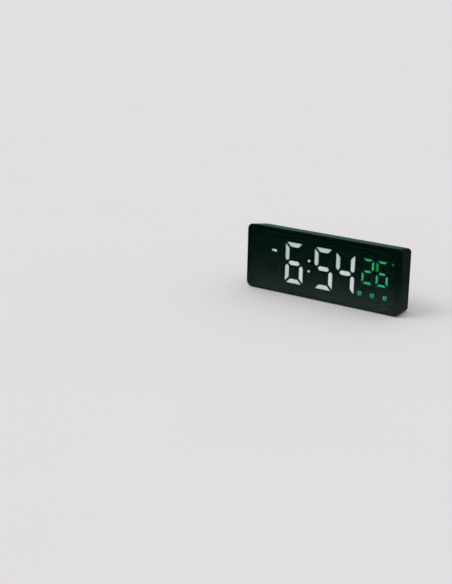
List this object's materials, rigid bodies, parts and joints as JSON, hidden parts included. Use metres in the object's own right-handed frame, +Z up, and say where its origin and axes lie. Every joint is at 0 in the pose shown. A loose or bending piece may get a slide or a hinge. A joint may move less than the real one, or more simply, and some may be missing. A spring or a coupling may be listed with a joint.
{
  "type": "digital desk clock",
  "caption": "Slim digital desk clock: dark front pane over a seven-segment light display, tapered case, rear keys, slide switch, charging socket, hinged battery door and rubber feet.",
  "frame": {"origin": "on the desk surface, under the middle of the clock", "axes": "+X to the right of someone reading the display, +Y to the back, +Z up"},
  "size_m": [0.16, 0.025, 0.06],
  "materials": {
    "case_plastic": "satin black injection-moulded plastic",
    "dark_pane": "polished smoked acrylic",
    "tape": "black foam adhesive tape",
    "mask_film": "printed black film",
    "diffuser": "milky light-guide plastic",
    "white_plastic": "moulded white plastic",
    "circuit_board": "green solder mask on fibreglass",
    "black_plastic": "black moulded component",
    "foot_rubber": "matt black rubber",
    "plated_steel": "nickel plate",
    "screw_steel": "zinc plate",
    "cell_jacket": "printed jacket on a steel can",
    "key_plastic": "dark moulded plastic",
    "red_lead": "red insulation",
    "black_lead": "black insulation",
    "ribbon_plastic": "grey ribbon"
  },
  "bodies": {
    "housing": {"battery_1": "cell_jacket", "battery_2": "cell_jacket", "battery_3": "cell_jacket", "battery_spring_1": "screw_steel", "battery_spring_2": "screw_steel", "battery_spring_3": "screw_steel", "battery_wire_black": "black_lead", "battery_wire_red": "red_lead", "board_screw_1": "screw_steel", "board_screw_2": "screw_steel", "board_screw_3": "screw_steel", "board_screw_4": "screw_steel", "buzzer": "black_plastic", "case_screw_1": "screw_steel", "case_screw_2": "screw_steel", "case_screw_3": "screw_steel", "case_screw_4": "screw_steel", "contact_bridge_left": "plated_steel", "contact_bridge_right": "plated_steel", "contact_negative": "plated_steel", "contact_positive": "plated_steel", "controller_chip": "black_plastic", "display_board": "circuit_board", "front_case": "case_plastic", "front_lens": "dark_pane", "key_board": "circuit_board", "key_board_screw_1": "screw_steel", "key_board_screw_2": "screw_steel", "lens_tape": "tape", "light_guide": "diffuser", "microphone": "plated_steel", "rear_cover": "case_plastic", "reflector_block": "white_plastic", "ribbon_cable": "ribbon_plastic", "rubber_foot_1": "foot_rubber", "rubber_foot_2": "foot_rubber", "rubber_foot_3": "foot_rubber", "rubber_foot_4": "foot_rubber", "segment_mask": "mask_film", "tact_switch_1": "black_plastic", "tact_switch_2": "black_plastic", "tact_switch_3": "black_plastic", "tact_switch_4": "black_plastic", "tact_switch_5": "black_plastic", "temperature_sensor": "black_plastic", "usb_socket_insulator": "black_plastic", "usb_socket_shell": "plated_steel", "voice_switch_body": "plated_steel"},
    "button_1": {"button_cap_1": "key_plastic", "switch_plunger_1": "black_plastic"},
    "button_2": {"button_cap_2": "key_plastic", "switch_plunger_2": "black_plastic"},
    "button_3": {"button_cap_3": "key_plastic", "switch_plunger_3": "black_plastic"},
    "button_4": {"button_cap_4": "key_plastic", "switch_plunger_4": "black_plastic"},
    "button_5": {"button_cap_5": "key_plastic", "switch_plunger_5": "black_plastic"},
    "voice_switch": {"voice_switch_knob": "key_plastic"},
    "battery_door": {"battery_door": "case_plastic"}
  },
  "joints": [
    {"name": "button_1_press", "type": "slide", "parent": "housing", "child": "button_1", "axis": [0, -1, 0], "range_m": [0, 0.0005], "stiffness_N_per_m": 500},
    {"name": "button_2_press", "type": "slide", "parent": "housing", "child": "button_2", "axis": [0, -1, 0], "range_m": [0, 0.0005], "stiffness_N_per_m": 500},
    {"name": "button_3_press", "type": "slide", "parent": "housing", "child": "button_3", "axis": [0, -1, 0], "range_m": [0, 0.0005], "stiffness_N_per_m": 500},
    {"name": "button_4_press", "type": "slide", "parent": "housing", "child": "button_4", "axis": [0, -1, 0], "range_m": [0, 0.0005], "stiffness_N_per_m": 500},
    {"name": "button_5_press", "type": "slide", "parent": "housing", "child": "button_5", "axis": [0, -1, 0], "range_m": [0, 0.0005], "stiffness_N_per_m": 500},
    {"name": "voice_switch_slide", "type": "slide", "parent": "housing", "child": "voice_switch", "axis": [1, 0, 0], "range_m": [0, 0.002]},
    {"name": "battery_door_hinge", "type": "hinge", "parent": "housing", "child": "battery_door", "pos_m": [0, 0.012, 0.00715], "axis": [-1, 0, 0], "range_deg": [0, 70]}
  ]
}
